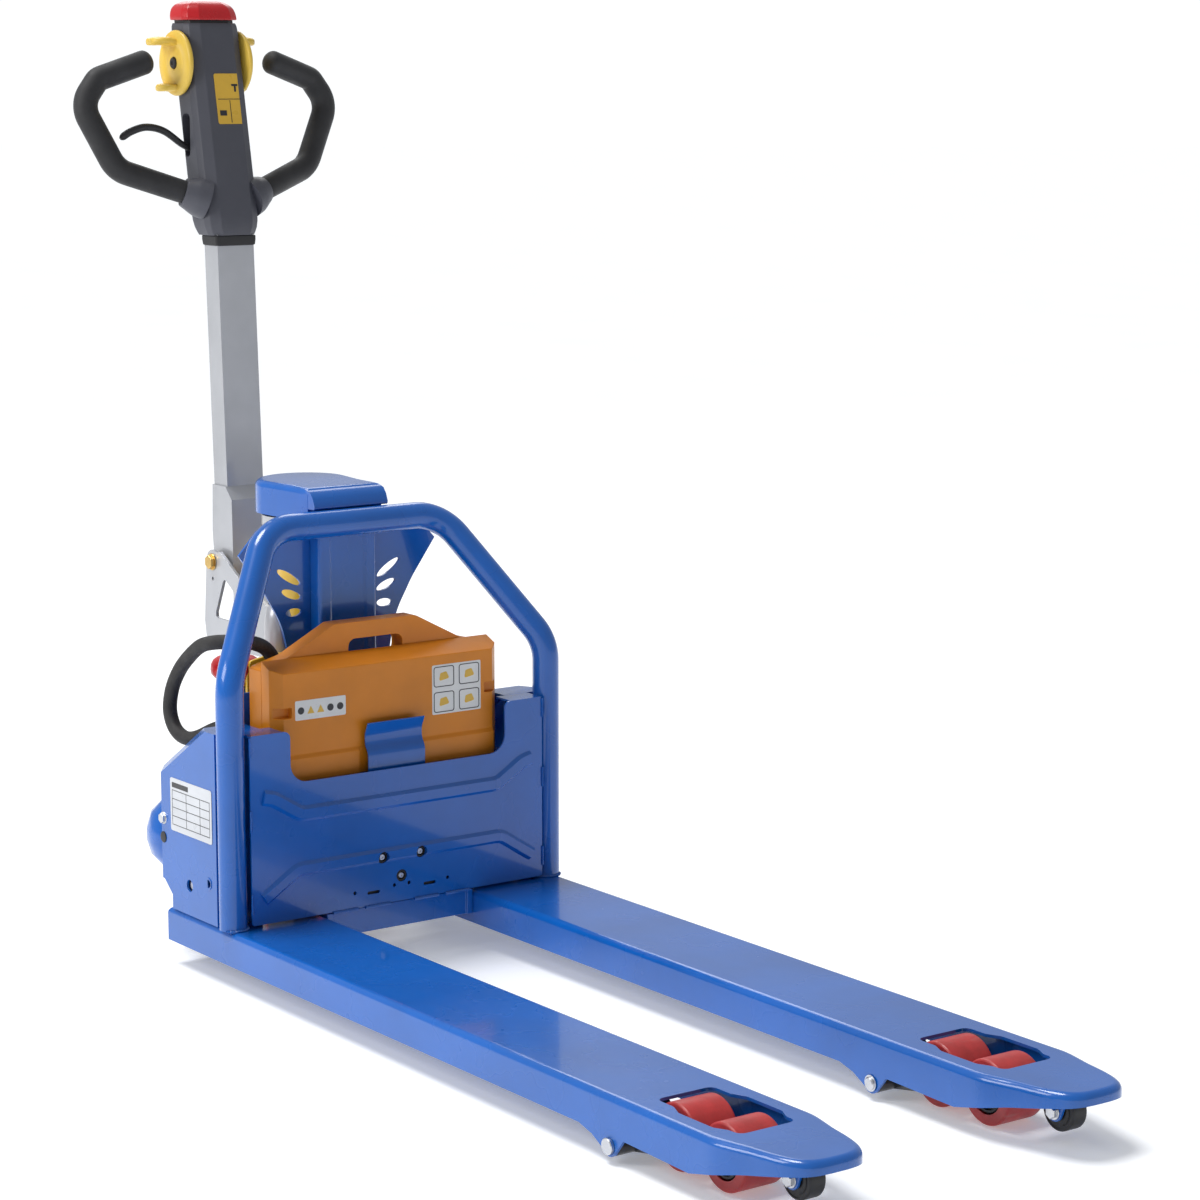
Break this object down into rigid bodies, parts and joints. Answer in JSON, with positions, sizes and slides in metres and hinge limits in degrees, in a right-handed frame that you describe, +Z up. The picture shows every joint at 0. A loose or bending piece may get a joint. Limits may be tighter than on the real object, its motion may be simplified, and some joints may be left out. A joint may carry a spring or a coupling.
{
  "type": "pallet jack",
  "caption": "Powered pallet truck: two forks on tandem rollers, lean-back guard hoop, lift-out battery, slotted tower and a steered tiller with loop grips.",
  "frame": {"origin": "on the floor under the middle of the truck's box, forks lowered", "axes": "+X from the heel to the fork tips, +Y across the truck to the operator's left as they face the forks, +Z up"},
  "size_m": [1.7248, 0.5502, 1.3195],
  "materials": {
    "blue_paint": "gloss",
    "orange_shell": "satin",
    "yellow_paint": "gloss",
    "yellow_plastic": "satin",
    "red_plastic": "gloss",
    "red_polyurethane": "satin",
    "black_plastic": "satin",
    "black_metal": "satin",
    "anthracite_plastic": "satin",
    "dark_steel": "satin",
    "zinc": "satin",
    "silver_paint": "satin",
    "chrome": "polished",
    "yellow_zinc": "satin",
    "black_rubber": "matte"
  },
  "bodies": {
    "chassis": {"fork_left": "blue_paint", "fork_right": "blue_paint", "arm_pin_left": "zinc", "arm_pin_right": "zinc", "guard_hoop": "blue_paint", "front_panel": "blue_paint", "cross_member": "blue_paint", "battery_tray": "blue_paint", "battery_clip": "blue_paint", "tower_web": "blue_paint", "tower_column": "blue_paint", "tower_cap": "blue_paint", "lift_ram": "chrome", "ram_collar": "zinc", "power_pack": "dark_steel", "side_box_left": "blue_paint", "side_box_right": "blue_paint", "battery_cable": "black_plastic", "cable_plug": "black_plastic"},
    "lift_unit": {"lift_cylinder": "yellow_paint"},
    "steering_unit": {"drive_yoke": "dark_steel", "drive_motor": "black_metal", "tiller_bracket": "silver_paint", "tiller_pivot_bolt": "yellow_zinc"},
    "drive_wheel": {"drive_tyre": "red_polyurethane", "drive_hub": "dark_steel"},
    "tiller": {"tiller_arm": "silver_paint", "tiller_spring": "dark_steel", "head_housing": "anthracite_plastic", "grip_loop_left": "black_rubber", "grip_loop_right": "black_rubber"},
    "belly_button": {"belly_button": "red_plastic"},
    "horn_button": {"horn_button": "black_plastic"},
    "lift_lever": {"lift_lever": "black_plastic"},
    "paddle_left": {"paddle_left": "yellow_plastic"},
    "paddle_right": {"paddle_right": "yellow_plastic"},
    "battery": {"battery_front_shell": "orange_shell", "battery_rear_shell": "orange_shell"},
    "emergency_stop": {"emergency_stop": "red_plastic"},
    "rocker": {"rocker_shaft": "dark_steel"},
    "load_arm_left": {"load_arm_left": "dark_steel"},
    "bogie_left": {"bogie_left": "dark_steel"},
    "push_rod_left": {"push_rod_left": "dark_steel"},
    "caster_yoke_left": {"caster_yoke_left": "zinc"},
    "caster_wheel_left": {"caster_wheel_left": "black_rubber"},
    "tip_roller_left": {"tip_roller_left": "black_rubber"},
    "roller_rear_left": {"load_roller_rear_left": "red_polyurethane", "roller_hub_rear_left": "black_metal"},
    "roller_front_left": {"load_roller_front_left": "red_polyurethane", "roller_hub_front_left": "black_metal"},
    "load_arm_right": {"load_arm_right": "dark_steel"},
    "bogie_right": {"bogie_right": "dark_steel"},
    "push_rod_right": {"push_rod_right": "dark_steel"},
    "caster_yoke_right": {"caster_yoke_right": "zinc"},
    "caster_wheel_right": {"caster_wheel_right": "black_rubber"},
    "tip_roller_right": {"tip_roller_right": "black_rubber"},
    "roller_rear_right": {"load_roller_rear_right": "red_polyurethane", "roller_hub_rear_right": "black_metal"},
    "roller_front_right": {"load_roller_front_right": "red_polyurethane", "roller_hub_front_right": "black_metal"}
  },
  "joints": [
    {"name": "lift", "type": "slide", "parent": "chassis", "child": "lift_unit", "axis": [0, 0, -1], "range_m": [0, 0.115]},
    {"name": "steering", "type": "hinge", "parent": "lift_unit", "child": "steering_unit", "pos_m": [-0.55761, 0, 0.24], "axis": [0, 0, 1], "range_deg": [-80, 80]},
    {"name": "drive_wheel_spin", "type": "hinge", "parent": "steering_unit", "child": "drive_wheel", "pos_m": [-0.55761, 0, 0.105], "axis": [0, 1, 0], "continuous": true},
    {"name": "tiller_tilt", "type": "hinge", "parent": "steering_unit", "child": "tiller", "pos_m": [-0.74261, 0, 0.51], "axis": [0, -1, 0], "range_deg": [0, 80], "stiffness_Nm_per_rad": 20, "springref_deg": -34.38},
    {"name": "belly_button_press", "type": "slide", "parent": "tiller", "child": "belly_button", "axis": [0.1822, 0, -0.9833], "range_m": [0, 0.004], "stiffness_N_per_m": 900},
    {"name": "horn_button_press", "type": "slide", "parent": "tiller", "child": "horn_button", "axis": [1, 0, 0], "range_m": [0, 0.003], "stiffness_N_per_m": 700},
    {"name": "lift_lever_turn", "type": "hinge", "parent": "tiller", "child": "lift_lever", "pos_m": [-0.79811, -0.03, 1.105], "axis": [-1, 0, 0], "range_deg": [-6, 12], "stiffness_Nm_per_rad": 0.8},
    {"name": "paddle_left_turn", "type": "hinge", "parent": "tiller", "child": "paddle_left", "pos_m": [-0.81461, 0.0455, 1.231], "axis": [0, 1, 0], "range_deg": [-20, 20], "stiffness_Nm_per_rad": 0.6},
    {"name": "paddle_right_turn", "type": "hinge", "parent": "tiller", "child": "paddle_right", "pos_m": [-0.81461, -0.0455, 1.231], "axis": [0, 1, 0], "range_deg": [-20, 20], "stiffness_Nm_per_rad": 0.6},
    {"name": "battery_lift", "type": "slide", "parent": "chassis", "child": "battery", "axis": [0, 0, 1], "range_m": [0, 0.055]},
    {"name": "emergency_stop_press", "type": "slide", "parent": "chassis", "child": "emergency_stop", "axis": [0, 0, -1], "range_m": [0, 0.005]},
    {"name": "rocker_swing", "type": "hinge", "parent": "chassis", "child": "rocker", "pos_m": [-0.40761, 0, 0.06], "axis": [0, -1, 0], "range_deg": [0, 57.5]},
    {"name": "load_arm_left_swing", "type": "hinge", "parent": "chassis", "child": "load_arm_left", "pos_m": [0.54839, 0.195, 0.021], "axis": [0, 1, 0], "range_deg": [0, 71.2]},
    {"name": "bogie_left_rock", "type": "hinge", "parent": "load_arm_left", "child": "bogie_left", "pos_m": [0.65639, 0.195, 0.04], "axis": [0, 1, 0], "range_deg": [-71.2, 0]},
    {"name": "push_rod_left_slide", "type": "slide", "parent": "chassis", "child": "push_rod_left", "axis": [1, 0, 0], "range_m": [0, 0.0322]},
    {"name": "roller_rear_left_spin", "type": "hinge", "parent": "bogie_left", "child": "roller_rear_left", "pos_m": [0.61339, 0.195, 0.04], "axis": [0, 1, 0], "continuous": true},
    {"name": "roller_front_left_spin", "type": "hinge", "parent": "bogie_left", "child": "roller_front_left", "pos_m": [0.69939, 0.195, 0.04], "axis": [0, 1, 0], "continuous": true},
    {"name": "caster_left_swivel", "type": "hinge", "parent": "chassis", "child": "caster_yoke_left", "pos_m": [-0.54761, 0.2, 0.104], "axis": [0, 0, 1], "continuous": true},
    {"name": "caster_left_spin", "type": "hinge", "parent": "caster_yoke_left", "child": "caster_wheel_left", "pos_m": [-0.52761, 0.2, 0.0375], "axis": [0, 1, 0], "continuous": true},
    {"name": "tip_roller_left_spin", "type": "hinge", "parent": "chassis", "child": "tip_roller_left", "pos_m": [0.80139, 0.195, 0.042], "axis": [0, 1, 0], "continuous": true},
    {"name": "load_arm_right_swing", "type": "hinge", "parent": "chassis", "child": "load_arm_right", "pos_m": [0.54839, -0.195, 0.021], "axis": [0, 1, 0], "range_deg": [0, 71.2]},
    {"name": "bogie_right_rock", "type": "hinge", "parent": "load_arm_right", "child": "bogie_right", "pos_m": [0.65639, -0.195, 0.04], "axis": [0, 1, 0], "range_deg": [-71.2, 0]},
    {"name": "push_rod_right_slide", "type": "slide", "parent": "chassis", "child": "push_rod_right", "axis": [1, 0, 0], "range_m": [0, 0.0322]},
    {"name": "roller_rear_right_spin", "type": "hinge", "parent": "bogie_right", "child": "roller_rear_right", "pos_m": [0.61339, -0.195, 0.04], "axis": [0, 1, 0], "continuous": true},
    {"name": "roller_front_right_spin", "type": "hinge", "parent": "bogie_right", "child": "roller_front_right", "pos_m": [0.69939, -0.195, 0.04], "axis": [0, 1, 0], "continuous": true},
    {"name": "caster_right_swivel", "type": "hinge", "parent": "chassis", "child": "caster_yoke_right", "pos_m": [-0.54761, -0.2, 0.104], "axis": [0, 0, 1], "continuous": true},
    {"name": "caster_right_spin", "type": "hinge", "parent": "caster_yoke_right", "child": "caster_wheel_right", "pos_m": [-0.52761, -0.2, 0.0375], "axis": [0, 1, 0], "continuous": true},
    {"name": "tip_roller_right_spin", "type": "hinge", "parent": "chassis", "child": "tip_roller_right", "pos_m": [0.80139, -0.195, 0.042], "axis": [0, 1, 0], "continuous": true}
  ],
  "couplings": [
    {"joint": "rocker_swing", "follows": "lift", "rad_per_m": 8.7},
    {"joint": "paddle_right_turn", "follows": "paddle_left_turn", "ratio": 1},
    {"joint": "load_arm_left_swing", "follows": "lift", "rad_per_m": 10.78},
    {"joint": "bogie_left_rock", "follows": "lift", "rad_per_m": -10.78},
    {"joint": "push_rod_left_slide", "follows": "lift", "ratio": 0.278},
    {"joint": "load_arm_right_swing", "follows": "lift", "rad_per_m": 10.78},
    {"joint": "bogie_right_rock", "follows": "lift", "rad_per_m": -10.78},
    {"joint": "push_rod_right_slide", "follows": "lift", "ratio": 0.278}
  ]
}
